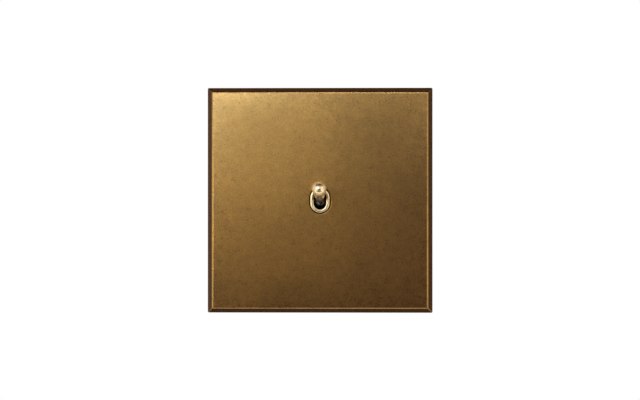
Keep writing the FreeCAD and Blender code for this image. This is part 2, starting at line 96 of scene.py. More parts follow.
wall_strip = 2 * plate_half * picture_width / plate_pixels * mm
distance = wall_strip * lens / sensor
aim = Vector((0, aim_depth, aim_height)) * mm
camera_data = bpy.data.cameras.new("camera")
camera_data.lens = lens
camera_data.sensor_width = sensor
camera = bpy.data.objects.new("camera", camera_data)
scene.collection.objects.link(camera)
camera.location = aim + distance * Vector((math.sin(camera_turn), -math.cos(camera_turn), 0))
camera.rotation_euler = (aim - camera.location).to_track_quat("-Z", "Y").to_euler()
scene.camera = camera
print("camera stands", round(distance, 3), "m away")

# %% [markdown]
# ## Helpers for finishes
# Colours are written as they look on a screen, in sRGB, and turned linear once, because the renderer adds up
# light in linear values. One function adds a node with its settings, values and links, so that each finish below
# reads as a short list. A pattern's scale is how often it repeats in a metre, worked out from its real size.
#
# Sockets are mostly called by name. A Mix node has sockets of one name for each kind of value, so there they are
# called by number: 0 is the factor, 2 and 3 are the two numbers, and 6 and 7 are the two colours.

# %% Helpers for finishes
def from_hex(code):
    """A screen colour such as #C8A050 in linear light, with full alpha."""
    parts = [int(code[i:i + 2], 16) / 255 for i in (1, 3, 5)]
    linear = [p / 12.92 if p <= 0.04045 else ((p + 0.055) / 1.055) ** 2.4 for p in parts]
    return (*linear, 1.0)


def repeats(size_mm):
    """How often a pattern of this size repeats in a metre."""
    return 1 / (size_mm * mm)


def add_node(tree, kind, values=None, links=None, **settings):
    """Adds a node, with values for its sockets, links into them and its own settings."""
    node = tree.nodes.new("ShaderNode" + kind)
    for key, value in settings.items():
        setattr(node, key, value)
    for socket, value in (values or {}).items():
        node.inputs[socket].default_value = value
    for socket, output in (links or {}).items():
        tree.links.new(output, node.inputs[socket])
    return node


def start_finish(name, **values):
    """A material with one Principled shader, and values on the shader's own sockets."""
    material = bpy.data.materials.new(name)
    material.use_nodes = True
    tree = material.node_tree
    shader = tree.nodes["Principled BSDF"]
    for socket, value in values.items():
        shader.inputs[socket.replace("_", " ")].default_value = value
    return material, tree, shader


print("a pattern of 2 mm repeats", round(repeats(2)), "times in a metre")

# %% [markdown]
# ## Where the plate is rubbed, and where shade is painted on its bevels
# The plate is solid brass, blackened in a bath and then rubbed back by hand with a fine pad. The pad only reaches
# the face and the edge of the slot, so the bevels and the back keep the dark film of the bath. On the bevels that
# dark colour is also painted shade, which keeps them nearly black. A mask says where it reached. It could be
# painted on the mesh, but the slant of a surface and its place say the same, and they stay sharp at any size.

# %% Where the pad reaches, and where bevel shade is painted
# How a surface slants, where -1 looks straight forward: fully rubbed up to the first; past the second,
# dark film and painted bevel shade
face_slant = -0.9
bevel_slant = -0.78
# The edge of the slot: how far from the middle and how deep the pad rubs, and where that has faded out
slot_near = 8.0
slot_far = 10.0
lip_depth = plate_front + 0.25
lip_end = plate_front + 0.35


def pad_reach_and_bevel_shade(tree, coordinates):
    """A mask that is one where the pad rubbed the film off, and nought where dark film and painted bevel shade stay.
    """
    slant = add_node(tree, "SeparateXYZ", {}, {"Vector": coordinates.outputs["Normal"]})
    on_face = add_node(tree, "MapRange", {"From Min": bevel_slant, "From Max": face_slant},
                       {"Value": slant.outputs["Y"]})
    flat = add_node(tree, "VectorMath", {1: (1, 0, 1)}, {0: coordinates.outputs["Object"]}, operation="MULTIPLY")
    reach = add_node(tree, "VectorMath", {}, {0: flat.outputs["Vector"]}, operation="LENGTH")
    at_slot = add_node(tree, "MapRange", {"From Min": slot_far * mm, "From Max": slot_near * mm},
                       {"Value": reach.outputs["Value"]})
    depth = add_node(tree, "SeparateXYZ", {}, {"Vector": coordinates.outputs["Object"]})
    shallow = add_node(tree, "MapRange", {"From Min": lip_end * mm, "From Max": lip_depth * mm},
                       {"Value": depth.outputs["Y"]})
    lip = add_node(tree, "Math", {}, {0: at_slot.outputs["Result"], 1: shallow.outputs["Result"]},
                   operation="MINIMUM")
    rubbed_not_shaded = add_node(tree, "Math", {}, {0: on_face.outputs["Result"], 1: lip.outputs[0]}, operation="MAXIMUM")
    return rubbed_not_shaded.outputs[0]


print("the pad reaches", round(lip_depth - plate_front, 2), "mm into the slot")

# %% [markdown]
# ## Antique brass of the plate
# After the rubbing the plate is sealed with a satin lacquer. Under the lacquer the metal is brown gold with soft
# clouds where more or less of the bath is left, and the pad leaves a fine mottled grain. It could be a flat gold
# with noise in its roughness alone, but the clouds carry colour too: where the brown film is thicker the metal is
# darker. To the eye this gives a plate that is handmade and old, with a broad silky shine and edges that are
# nearly black, from the dark film and from shade painted on the bevels.

# %% Antique brass
# In millimetres: clouds left by the bath, marks of the pad, its grain, drawn a little coarser than it is, and relief
cloud_size = 24
mottle_size = 2.2
grain_size = 0.6
relief_depth = 0.018
# How much the grain counts beside the marks
grain_share = 0.6


def antique_brass():
    material, tree, shader = start_finish("lacquered_antique_brass", Metallic=1.0, Coat_Roughness=0.3)
    coordinates = add_node(tree, "TexCoord")
    place = coordinates.outputs["Object"]
    clouds = add_node(tree, "TexNoise", {"Scale": repeats(cloud_size), "Detail": 3.0, "Roughness": 0.55},
                      {"Vector": place})
    film = add_node(tree, "MapRange", {"From Min": 0.35, "From Max": 0.65}, {"Value": clouds.outputs["Fac"]})
    rubbed = add_node(tree, "Mix", {6: from_hex("#A9834B"), 7: from_hex("#9F7B45")}, {0: film.outputs["Result"]},
                      data_type="RGBA")
    rubbed_not_shaded = pad_reach_and_bevel_shade(tree, coordinates)
    # Dark film off the rubbed face; on the bevels this dark colour is painted shade as well
    worn_and_bevel_shade = add_node(tree, "Mix", {6: from_hex("#4E341D")}, {0: rubbed_not_shaded, 7: rubbed.outputs[2]}, data_type="RGBA")
    sealed = add_node(tree, "MapRange", {"To Min": 0.25}, {"Value": rubbed_not_shaded})
    mottle = add_node(tree, "TexNoise", {"Scale": repeats(mottle_size), "Detail": 4.0, "Roughness": 0.65},
                      {"Vector": place})
    grain = add_node(tree, "TexNoise", {"Scale": repeats(grain_size), "Detail": 2.0, "Roughness": 0.6},
                     {"Vector": place})
    both = add_node(tree, "Mix", {0: grain_share}, {2: mottle.outputs["Fac"], 3: grain.outputs["Fac"]})
    speck = add_node(tree, "MapRange", {"From Min": 0.38, "From Max": 0.62, "To Min": 0.84, "To Max": 1.3},
                     {"Value": both.outputs[0]})
    colour = add_node(tree, "Mix", {0: 1.0}, {6: worn_and_bevel_shade.outputs[2], 7: speck.outputs["Result"]},
                      data_type="RGBA", blend_type="MULTIPLY")
    dull = add_node(tree, "MapRange", {"From Min": 0.35, "From Max": 0.65, "To Min": 0.27, "To Max": 0.295},
                    {"Value": both.outputs[0]})
    relief = add_node(tree, "Bump", {"Strength": 0.5, "Distance": relief_depth * mm}, {"Height": both.outputs[0]})
    tree.links.new(colour.outputs[2], shader.inputs["Base Color"])
    tree.links.new(dull.outputs["Result"], shader.inputs["Roughness"])
    tree.links.new(sealed.outputs["Result"], shader.inputs["Coat Weight"])
    tree.links.new(relief.outputs["Normal"], shader.inputs["Normal"])
    return material


plate_brass = antique_brass()
print("antique brass:", len(plate_brass.node_tree.nodes), "nodes")

# %% [markdown]
# ## Bright brass of the ring and the dolly
# Both are turned or milled from bar and then polished, so they are paler and smoother than the plate, and the eye
# finds them first. What is left of the tool are fine lines round the axis, which a wave along that axis draws. The
# real ones are some hundredths of a millimetre apart, too fine to show, and so they are drawn a quarter of a
# millimetre apart. The polishing wheel doesn't get down between the dolly and the ring, so the neck and the lower
# wall of the ring stay bare there and dull. Their darker tone is painted shade: near black on the ring's wall, which
# makes the opening look deep, and a dull reddish brown on the neck.

# %% Polished brass
# In millimetres: lines of the tool, the haze left by the wheel, and the lines' depth
line_spacing = 0.25
haze_size = 1.5
line_relief = 0.004
# Where the wheel doesn't reach
bare_roughness = 0.55
bare_metallic = 0.6
# Lines that the Wave node draws in a metre at a scale of one: twenty radians, of which each line takes a full turn
wave_lines = 20 / math.tau


def polished_brass(name, turn, centre, bare_shade_reach, fade, bare_shade_tone):
    """Brass lined across a forward axis, bare and in painted shade up to a reach along it, polished beyond."""
    # The plain value is for an export that makes no maps of what is linked below
    material, tree, shader = start_finish(name, Metallic=1.0)
    place = add_node(tree, "TexCoord").outputs["Object"]
    axis = add_node(tree, "Mapping", {"Location": centre, "Rotation": turn}, {"Vector": place}, vector_type="TEXTURE")
    lines = add_node(tree, "TexWave", {"Scale": repeats(line_spacing) / wave_lines, "Distortion": 0.6, "Detail": 1.0},
                     {"Vector": axis.outputs["Vector"]}, bands_direction="Y")
    haze = add_node(tree, "TexNoise", {"Scale": repeats(haze_size), "Detail": 3.0}, {"Vector": place})
    polished = add_node(tree, "Mix", {6: from_hex("#FCF2DA"), 7: from_hex("#F4E5C6")}, {0: haze.outputs["Fac"]},
                        data_type="RGBA")
    gloss = add_node(tree, "MapRange", {"From Min": 0.3, "From Max": 0.7, "To Min": 0.24, "To Max": 0.30},
                     {"Value": haze.outputs["Fac"]})
    relief = add_node(tree, "Bump", {"Strength": 0.12, "Distance": line_relief * mm},
                      {"Height": lines.outputs["Fac"]})
    along = add_node(tree, "SeparateXYZ", {}, {"Vector": axis.outputs["Vector"]})
    bare_and_shaded = add_node(tree, "MapRange", {"From Min": -(bare_shade_reach + fade) * mm, "From Max": -bare_shade_reach * mm},
                    {"Value": along.outputs["Y"]})
    # Painted shade: the bare tone darkens the brass up to the reach
    colour = add_node(tree, "Mix", {7: from_hex(bare_shade_tone)}, {0: bare_and_shaded.outputs["Result"], 6: polished.outputs[2]},
                      data_type="RGBA")
    dull = add_node(tree, "Mix", {3: bare_roughness}, {0: bare_and_shaded.outputs["Result"], 2: gloss.outputs["Result"]})
    metal = add_node(tree, "MapRange", {"To Min": 1.0, "To Max": bare_metallic}, {"Value": bare_and_shaded.outputs["Result"]})
    tree.links.new(metal.outputs["Result"], shader.inputs["Metallic"])
    tree.links.new(colour.outputs[2], shader.inputs["Base Color"])
    tree.links.new(dull.outputs[0], shader.inputs["Roughness"])
    tree.links.new(relief.outputs["Normal"], shader.inputs["Normal"])
    return material


# The bare reach, in painted shade, starts at a piece's own centre, and the polish comes in over the length of its
# fade
straight = (0.0, 0.0, 0.0)
lever_turn = (-lever_tilt, 0.0, 0.0)
# Near black on the ring's wall behind its mouth: painted shade in the hollow
ring_brass = polished_brass("polished_brass_ring", straight, straight,
                            bare_shade_reach=5.0, fade=1.0, bare_shade_tone="#3C2A18")
# Dull reddish brown on the neck: bare, dull metal, with the ring's shade painted on it
lever_brass = polished_brass("turned_brass_dolly", lever_turn, tuple(pivot * mm),
                             bare_shade_reach=9.0, fade=3.0, bare_shade_tone="#9C7660")
print("polished brass:", ring_brass.name, lever_brass.name)

# %% [markdown]
# ## Finishes of the inner pieces
# The other materials differ in colour, gloss and grain but are built alike: two close tones in soft clouds, a
# roughness that wanders a little, and a fine relief. They get a small rounding of their edges in the shading,
# because no mould or press leaves a perfectly sharp edge and the highlight on it is what the eye looks for.

# %% One recipe for the inner finishes
def plain_finish(name, tones, cloud_mm, grain_mm, gloss, relief_mm, edge_mm=0.12, **values):
    """Two close tones in clouds, a range of roughness and a relief in one grain, and rounded edges."""
    material, tree, shader = start_finish(name, **values)
    place = add_node(tree, "TexCoord").outputs["Object"]
    clouds = add_node(tree, "TexNoise", {"Scale": repeats(cloud_mm), "Detail": 3.0}, {"Vector": place})
    grain = add_node(tree, "TexNoise", {"Scale": repeats(grain_mm), "Detail": 3.0}, {"Vector": place})
    colour = add_node(tree, "Mix", {6: from_hex(tones[0]), 7: from_hex(tones[1])}, {0: clouds.outputs["Fac"]},
                      data_type="RGBA")
    rough = add_node(tree, "MapRange", {"From Min": 0.3, "From Max": 0.7, "To Min": gloss[0], "To Max": gloss[1]},
                     {"Value": grain.outputs["Fac"]})
    edge = add_node(tree, "Bevel", {"Radius": edge_mm * mm}, samples=4)
    relief = add_node(tree, "Bump", {"Strength": 0.4, "Distance": relief_mm * mm},
                      {"Height": grain.outputs["Fac"], "Normal": edge.outputs["Normal"]})
    tree.links.new(colour.outputs[2], shader.inputs["Base Color"])
    tree.links.new(rough.outputs["Result"], shader.inputs["Roughness"])
    tree.links.new(relief.outputs["Normal"], shader.inputs["Normal"])
    return material


print("inner finishes take clouds, grain, gloss and relief")

# %% [markdown]
# The inner pieces show when the switch is out of the wall, and then they have to be told apart at a glance. So
# metals of nearly one colour differ in gloss and warmth, and the two black mouldings in their sheen. The values
# could sit on the nodes of one material each, but side by side they are easier to keep apart.

# %% Make the finishes
# Name, two tones, sizes of clouds and grain in mm, lowest and highest roughness, height of the relief in mm
finishes = {
    "antique_brass": plate_brass,
    "polished_brass": ring_brass,
    # Sawn bar, not polished: yellower and duller, so that the terminals read as plain working parts
    "terminal_brass": plain_finish("machined_terminal_brass", ("#D8B25E", "#C79F4C"), 4, 0.4, (0.24, 0.36), 0.01,
                                   Metallic=1.0),
    # Phenolic from a polished mould: nearly black, with small sharp glints
    "black_moulding": plain_finish("glossy_black_phenolic", ("#0B0B0D", "#121215"), 6, 0.8, (0.07, 0.13), 0.002),
    # The same resin from a plainer mould: a soft grey sheen where the rocker has a mirror
    "body_moulding": plain_finish("moulded_black_phenolic", ("#1B1B1D", "#262628"), 9, 0.5, (0.36, 0.5), 0.02),
    # Nylon lets a little light in, which softens its shadows
    "slide_moulding": plain_finish("natural_nylon", ("#E6E3D6", "#D9D5C4"), 5, 0.5, (0.35, 0.5), 0.01,
                                   Subsurface_Weight=0.15, Subsurface_Scale=0.001),
    # Zinc on rolled sheet: cool and a little cloudy, with a broad soft shine
    "zinc_steel": plain_finish("zinc_plated_sheet_steel", ("#C9CBC6", "#B4B8B8"), 3, 0.3, (0.26, 0.42), 0.01,
                               Metallic=1.0),
    # Zinc on turned steel: warmer and tighter, so that the screws stand out from the sheet
    "screw_steel": plain_finish("zinc_plated_screw_steel", ("#CFCDC2", "#BAB8AC"), 2, 0.3, (0.22, 0.34), 0.006,
                                Metallic=1.0),
    # Ground steel: a clean narrow line of light along the pin
    "pin_steel": plain_finish("ground_pin_steel", ("#CDCDCD", "#BEBEC0"), 2, 0.2, (0.16, 0.26), 0.003,
                              Metallic=1.0),
    # Hardened strip: the greyest of the steels, which tells springs from plated parts
    "spring_steel": plain_finish("blued_spring_steel", ("#9FA1A6", "#85888F"), 2, 0.3, (0.2, 0.32), 0.004,
                                 Metallic=1.0),
    # Nickel: almost a mirror, faintly yellow
    "magnet_nickel": plain_finish("nickel_plated_magnet", ("#D2CFC6", "#C6C3B9"), 3, 0.4, (0.1, 0.18), 0.003,
                                  Metallic=1.0),
    # Silver: the palest metal here, so that the contacts are easy to find
    "contact_silver": plain_finish("silver_contact", ("#F0EEE8", "#DEDCD4"), 1, 0.2, (0.18, 0.3), 0.004,
                                   Metallic=1.0),
}
for row in frame["record"]["subparts"]:
    node = frame["nodes"][row["node"]]
    node.data.materials.clear()
    node.data.materials.append(finishes[row["material_slot"]])
print("finishes:", len(finishes))

# %% [markdown]
# ## Helpers for shapes
# A new piece is drawn in a bmesh, Blender's editable mesh. Loops of edges come from circles, and faces come from
# bridging two loops or filling between them. Blocks could also be cut by other solids, but a cut leaves stray
# corners on a flat face, and loops put every edge where it is asked for.

# %% Loops and faces
near = 0.001
facing = Matrix.Rotation(math.radians(90), 4, "X")


def edges_of(verts):
    return list({edge for vert in verts for edge in vert.link_edges})


def rounded_box(bm, half_width, half_height, corner, y, steps=96):
    """A rectangular loop with round corners: a circle whose quarters are pulled apart."""
    half_step = Matrix.Rotation(math.pi / steps, 4, "Z")
    made = bmesh.ops.create_circle(bm, cap_ends=False, segments=steps, radius=corner,
                                   matrix=Matrix.Translation((0, y, 0)) @ facing @ half_step)
    for vert in made["verts"]:
        vert.co.x += math.copysign(half_width - corner, vert.co.x)
        vert.co.z += math.copysign(half_height - corner, vert.co.z)
    return edges_of(made["verts"])


def obround(bm, half_width, half_height, y):
    """A loop with two straight sides and two round ends."""
    return rounded_box(bm, half_width, half_height, half_width, y)


def circle(bm, radius, x, y, z, capped=False, steps=48):
    made = bmesh.ops.create_circle(bm, cap_ends=capped, segments=steps, radius=radius,
                                   matrix=Matrix.Translation((x, y, z)) @ facing)
    return edges_of(made["verts"])


def bridge(bm, *loops):
    """Joins each loop to the next one with a band of faces."""
    for first, second in zip(loops, loops[1:]):
        bmesh.ops.bridge_loops(bm, edges=first + second)


def fill(bm, *loops):
    """Fills between an outline and the loops inside it."""
    bmesh.ops.triangle_fill(bm, use_beauty=True, use_dissolve=False, edges=[e for loop in loops for e in loop])


print("lengths closer than", near, "mm count as the same")

# %% [markdown]
# A piece can also start as a block whose edges are softened and whose faces are opened. At the end doubles are
# merged, faces are turned outwards, the piece is scaled to metres and smoothed by angle. A modifier evens the
# shading, so that big flat faces stay flat beside small rounded ones.

# %% Blocks, open faces and finished pieces
smooth_below = math.radians(35)


def block(bm, half_width, front, back, half_height):
    """A box centred on the middle of the plate, between two depths."""
    size = Matrix.Diagonal((2 * half_width, back - front, 2 * half_height, 1))
    made = bmesh.ops.create_cube(bm, size=1, matrix=Matrix.Translation((0, (front + back) / 2, 0)) @ size)
    return edges_of(made["verts"])


def depth_run(edge):
    """How far an edge runs from front to back."""
    return abs(edge.verts[0].co.y - edge.verts[1].co.y)


def soften(bm, edges, offset, segments):
    bmesh.ops.bevel(bm, geom=edges, offset=offset, offset_type="OFFSET", segments=segments, profile=0.5,
                    affect="EDGES", clamp_overlap=True, material=-1)


def open_face(bm, y):
    """Takes out the largest face at a depth, and returns the loop that was its edge."""
    face = max((f for f in bm.faces if all(abs(v.co.y - y) < near for v in f.verts)), key=lambda f: f.calc_area())
    loop = list(face.edges)
    bmesh.ops.delete(bm, geom=[face], context="FACES_ONLY")
    return loop


def finish_piece(bm, name, material, body, slot, *nodes):
    """Makes a drawn mesh an object that rides on a body and stands for CAD nodes."""
    bmesh.ops.remove_doubles(bm, verts=bm.verts, dist=near / 2)
    bmesh.ops.recalc_face_normals(bm, faces=bm.faces)
    bmesh.ops.scale(bm, vec=(mm, mm, mm), verts=bm.verts)
    mesh = bpy.data.meshes.new(name)
    bm.to_mesh(mesh)
    open_edges = sum(1 for edge in bm.edges if not edge.is_manifold)
    bm.free()
    mesh.shade_smooth()
    mesh.set_sharp_from_angle(angle=smooth_below)
    mesh.materials.append(material)
    piece = bpy.data.objects.new(name, mesh)
    scene.collection.objects.link(piece)
    evened = piece.modifiers.new("even shading", "WEIGHTED_NORMAL")
    evened.keep_sharp = True
    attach(piece, body)
    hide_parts(*nodes)
    print(name, len(mesh.polygons), "faces,", open_edges, "open edges")
    return piece


print("edges below", round(math.degrees(smooth_below)), "degrees are smoothed")

# %% [markdown]
# ## The plate
# The real plate is milled from 6 mm sheet, with a flat bevel round the front whose inner edge is softened by the
# polishing wheel. The bevel could be drawn as a profile swept round the square, but a block whose front edges are
# bevelled keeps the mitres exact, and a second, finer bevel rounds the arrises. The wheel also takes the face down
# a little towards its edges. The block starts that much short of the plate's front, which leaves room for a crown.

# %% Bevel the block
bevel_leg = 1.85
arris = 0.5
arris_steps = 6
# From the edge inwards: how wide each ring of the crown is, and its slope in degrees
crown_steps = [(0.6, 3.0), (0.9, 2.4), (1.4, 1.9), (2.1, 1.4), (3.2, 0.9), (4.5, 0.4)]

crown = sum(width * math.tan(math.radians(slope)) for width, slope in crown_steps)
edge_front = plate_front + crown
bevel_back = edge_front + bevel_leg
bm = bmesh.new()
block(bm, plate_half, edge_front, 0, plate_half)
soften(bm, [edge for edge in bm.edges if all(v.co.y < edge_front + near for v in edge.verts)], bevel_leg, 1)
front_corners = [edge for edge in bm.edges
                 if max(v.co.y for v in edge.verts) < bevel_back + near
                 and min(v.co.y for v in edge.verts) < edge_front + near]
side_corners = [edge for edge in bm.edges if depth_run(edge) > bevel_leg + near]
soften(bm, front_corners + side_corners, arris, arris_steps)
print("block:", len(bm.faces), "faces, crown", round(crown, 3), "mm")

# %% [markdown]
# A pocket in the back takes the steel frame and leaves a rim. It could be an inset of the back face, but an inset
# wider than the plate's corner rounding folds over itself there. So the back is opened, the pocket's outline is a
# loop of its own, and the rim is filled between the two.

# %% Open the pocket
rim = 4.0
pocket_floor = -3.6
pocket_corner = 2.0
pocket_steps = 32

inner = plate_half - rim
back_outline = open_face(bm, 0)
brink = rounded_box(bm, inner, inner, pocket_corner, 0, steps=pocket_steps)
floor_outline = rounded_box(bm, inner, inner, pocket_corner, pocket_floor, steps=pocket_steps)
bridge(bm, brink, floor_outline)
fill(bm, back_outline, brink)
print("pocket:", 2 * inner, "mm wide,", -pocket_floor, "mm deep")

# %% [markdown]
# Rings of faces set in from the edge of the face, each on a gentler slope, draw the crown. The slot and four
# recesses for the magnets are loops too, and the face and the pocket's floor are filled round them, so that both
# stay flat.

# %% Crown the face, cut the slot and the recesses
slot_half_width = 4.15
slot_half_height = 5.175
# The edge of the slot, rounded by the polishing: how far out and how deep each line on it runs
slot_edge = [(0.32, 0), (0.17, 0.04), (0.05, 0.12), (0, 0.25)]
magnet_place = 28.0
magnet_recess_radius = 5.1
magnet_seat = -4.4
straight_forward = -0.99

front = max((f for f in bm.faces if f.normal.y < straight_forward), key=lambda f: f.calc_area())
for width, slope in crown_steps:
    bmesh.ops.inset_region(bm, faces=[front], thickness=width, depth=width * math.tan(math.radians(slope)),
                           use_even_offset=True)
front_outline = open_face(bm, plate_front)
lip = [obround(bm, slot_half_width + out, slot_half_height + out, plate_front + depth) for out, depth in slot_edge]
tail = obround(bm, slot_half_width, slot_half_height, pocket_floor)
bridge(bm, *lip, tail)
recesses = []
for x in (-magnet_place, magnet_place):
    for z in (-magnet_place, magnet_place):
        recesses.append(circle(bm, magnet_recess_radius, x, pocket_floor, z))
        bridge(bm, recesses[-1], circle(bm, magnet_recess_radius, x, magnet_seat, z, capped=True))
fill(bm, front_outline, lip[0])
fill(bm, floor_outline, tail, *recesses)
plate = finish_piece(bm, "bevelled_plate", plate_brass, "base", "antique_brass", "front_plate")

# %% [markdown]
# ## The ring
# The ring is milled from brass with its flange in one piece. Its outline has straight sides and round ends, and
# every line on it runs at the same distance from that outline, so one profile serves all round: each point of
# the profile is an inset and a depth, each gives one loop, and bands of faces join the loops. The polished front
# is fully rounded: half an ellipse, as wide as the wall.

# %% Model the ring
ring_half_width = 3.68
ring_half_height = 4.7
ring_wall = 1.28
ring_round = 0.32
round_steps = 12
ball_room = 0.63
wall_back = -4.0
ring_front = bezel_low.y
flange_front = -3.4
flange_back = -2.4

half_wall = ring_wall / 2
profile = [(0, flange_front)]
for step in range(round_steps + 1):
    angle = math.pi * step / round_steps
    profile.append((half_wall - half_wall * math.cos(angle), ring_front + ring_round - ring_round * math.sin(angle)))
profile += [(ring_wall, wall_back), (ball_room, flange_back)]
bm = bmesh.new()
loops = [obround(bm, ring_half_width - inset, ring_half_height - inset, y) for inset, y in profile]
bridge(bm, *loops)
print("ring:", len(profile), "points in its profile")

# %% [markdown]
# The flange is a flat block behind the plate. Only this needs a fill, because its outline is square and it has
# two stepped holes for screws.

# %% Add the flange
flange_corner = 2.0
flange_corner_steps = 8
screw_z = 7.025
head_room_radius = 1.72
head_room_depth = 0.6
shank_room_radius = 0.92

flange_edges = block(bm, bezel_high.x, flange_front, flange_back, bezel_high.z)
soften(bm, [edge for edge in flange_edges if depth_run(edge) > near], flange_corner, flange_corner_steps)
heads, holes = [], []
for z in (-screw_z, screw_z):
    heads.append(circle(bm, head_room_radius, 0, flange_front, z))
    floor_edge = circle(bm, head_room_radius, 0, flange_front + head_room_depth, z)
    seat_edge = circle(bm, shank_room_radius, 0, flange_front + head_room_depth, z)
    holes.append(circle(bm, shank_room_radius, 0, flange_back, z))
    bridge(bm, heads[-1], floor_edge, seat_edge, holes[-1])
fill(bm, open_face(bm, flange_front), loops[0], *heads)
fill(bm, open_face(bm, flange_back), loops[-1], *holes)
finish_piece(bm, "milled_ring", ring_brass, "base", "polished_brass", "bezel")

# %% [markdown]
# ## The dolly
# A dolly is turned on a lathe: a stem that is pressed into the rocker, a straight neck, a slow taper and a ball.
# A lathe piece is a profile spun about its axis, so that is how it is made here. The taper has to run into the
# ball without an edge, and the angle at which a line from the neck just touches the ball is worked out below.

# %% Model the dolly
ball_radius = 2.75
ball_reach = 18.9
neck_radius = 1.6
neck_start = 3.45
neck_end = 4.95
stem_radius = 1.2
stem_start = 1.63
ball_steps = 28
turn_steps = 72

run = ball_reach - neck_end
taper = math.atan2(run, neck_radius) - math.acos(ball_radius / math.hypot(run, neck_radius))
outline = [(stem_start, 0), (stem_start, stem_radius), (neck_start, stem_radius), (neck_start, neck_radius),
           (neck_end, neck_radius)]
for step in range(ball_steps + 1):
    angle = -taper + (math.pi / 2 + taper) * step / ball_steps
    outline.append((ball_reach + ball_radius * math.sin(angle), ball_radius * math.cos(angle)))
bm = bmesh.new()
points = [bm.verts.new((0, pivot.y - reach, radius)) for reach, radius in outline]
for first, second in zip(points, points[1:]):
    bm.edges.new((first, second))
bmesh.ops.spin(bm, geom=bm.verts[:] + bm.edges[:], cent=pivot, axis=(0, 1, 0), angle=2 * math.pi,
               steps=turn_steps, use_merge=True)
bmesh.ops.rotate(bm, verts=bm.verts, cent=pivot, matrix=Matrix.Rotation(-lever_tilt, 3, "X"))
print("taper:", round(math.degrees(taper), 2), "degrees")
finish_piece(bm, "turned_dolly", lever_brass, "lever", "polished_brass", "dolly")

# %% [markdown]
# ## Floor
# The floor is a pale disc, far enough below the switch that it stays out of the picture from the front. Seen from
# above it shows how the switch stands in the room.

# %% Lay the floor
floor_depth = 0.35
floor_radius = 0.9

mesh = bpy.data.meshes.new("floor")
bm = bmesh.new()
bmesh.ops.create_circle(bm, cap_ends=True, segments=96, radius=floor_radius,
                        matrix=Matrix.Translation((0, 0, -floor_depth)))
bm.to_mesh(mesh)
bm.free()
floor = bpy.data.objects.new("floor", mesh)
scene.collection.objects.link(floor)
floor_paint = start_finish("matt_white_floor", Base_Color=from_hex("#E8E6E1"), Roughness=0.8)[0]
mesh.materials.append(floor_paint)
print("floor", floor_depth, "m below the middle of the plate")

# %% [markdown]
# ## Background
# The background is white to the camera and to reflections, as in a catalogue picture. One white world could also
# light the pieces, but it would wash them out, so for the light that falls on them it is dim.

# %% Light up the background
seen_strength = 1.0
lighting_strength = 0.3

world = bpy.data.worlds.new("studio")
scene.world = world
world.use_nodes = True
tree = world.node_tree
tree.nodes.clear()
path = add_node(tree, "LightPath")
seen = add_node(tree, "Math", {}, {0: path.outputs["Is Camera Ray"], 1: path.outputs["Is Glossy Ray"]},
                operation="ADD")
seen = add_node(tree, "Math", {}, {0: seen.outputs[0], 1: path.outputs["Is Transmission Ray"]},
                operation="ADD", use_clamp=True)
white = add_node(tree, "Background", {"Color": from_hex("#FFFFFF"), "Strength": seen_strength})
dim = add_node(tree, "Background", {"Color": from_hex("#FFFFFF"), "Strength": lighting_strength})
both = add_node(tree, "MixShader", {}, {0: seen.outputs[0], 1: dim.outputs[0], 2: white.outputs[0]})
add_node(tree, "OutputWorld", {}, {"Surface": both.outputs[0]})
print("background", seen_strength, "where it is seen,", lighting_strength, "where it lights")

# %% [markdown]
# ## Cards
# Brass shows what stands round it, and a white background alone would wash it out. Cards that only reflections
# can see stand for the room: they are left out of the camera's view and cast no shadow. Pale boxes left, right
# and above the camera make the bright patches on the ball, and the black strip between them is the camera's stand.

# %% Put up the boxes round the camera
def card(name, centre, width, height, facing_point, tone, strength):
    """A flat painted card that shows in reflections only."""
    mesh = bpy.data.meshes.new(name)
    bm = bmesh.new()
    turn = (Vector(facing_point) - Vector(centre)).to_track_quat("Z", "Y").to_matrix().to_4x4()
    bmesh.ops.create_grid(bm, x_segments=1, y_segments=1, size=0.5,
                          matrix=Matrix.Translation(centre) @ turn @ Matrix.Diagonal((width, height, 1, 1)))
    bm.to_mesh(mesh)
    bm.free()
    piece = bpy.data.objects.new(name, mesh)
    scene.collection.objects.link(piece)
    paint = bpy.data.materials.new(name + "_paint")
    paint.use_nodes = True
    tree = paint.node_tree
    tree.nodes.clear()
    glow = add_node(tree, "Emission", {"Color": from_hex(tone), "Strength": strength})
    add_node(tree, "OutputMaterial", {}, {"Surface": glow.outputs[0]})
    mesh.materials.append(paint)
    piece.visible_camera = False
    piece.visible_diffuse = False
    piece.visible_shadow = False


# Name, middle, width and height in metres, the point it faces, tone and strength. The far wall is dim and reddish
card("card_front", (0, -1.5, 0.1), 2.4, 2.0, (0, 0, 0.1), "#FF7A40", 0.06)
card("card_stand", (0, -0.55, -0.21), 0.10, 0.24, (0, 0, -0.21), "#000000", 0.0)
card("box_left", (-0.44, -0.345, 0.20), 0.56, 0.50, (0, -0.02, 0.20), "#FFF4E0", 1.0)
card("box_right", (0.44, -0.345, 0.20), 0.56, 0.50, (0, -0.02, 0.20), "#FFEFD2", 1.0)
card("box_low_left", (-0.44, -0.345, -0.19), 0.56, 0.27, (0, -0.02, -0.19), "#FFF3CC", 1.15)
card("box_low_right", (0.44, -0.345, -0.19), 0.56, 0.27, (0, -0.02, -0.19), "#FFEFD2", 1.2)
card("box_top", (0, -0.64, 0.246), 0.60, 0.29, (0, 0, 0), "#FFFFE7", 1.0)

# %% [markdown]
# The bevels mirror what is beside the plate, so dim cards there make them nearly black. The rims of the ball
# mirror what is a little behind the plate, where narrow bright cards stand, with dim ones after them. The cards
# lie under the ceiling, stand at the walls and lie on the floor.

# %% Put up strips at the ceiling, the walls and the floor
ceiling = 0.9
wall = 1.1
above_floor = 0.01 - floor_depth
strip_length = 2.0
table_length = 1.2

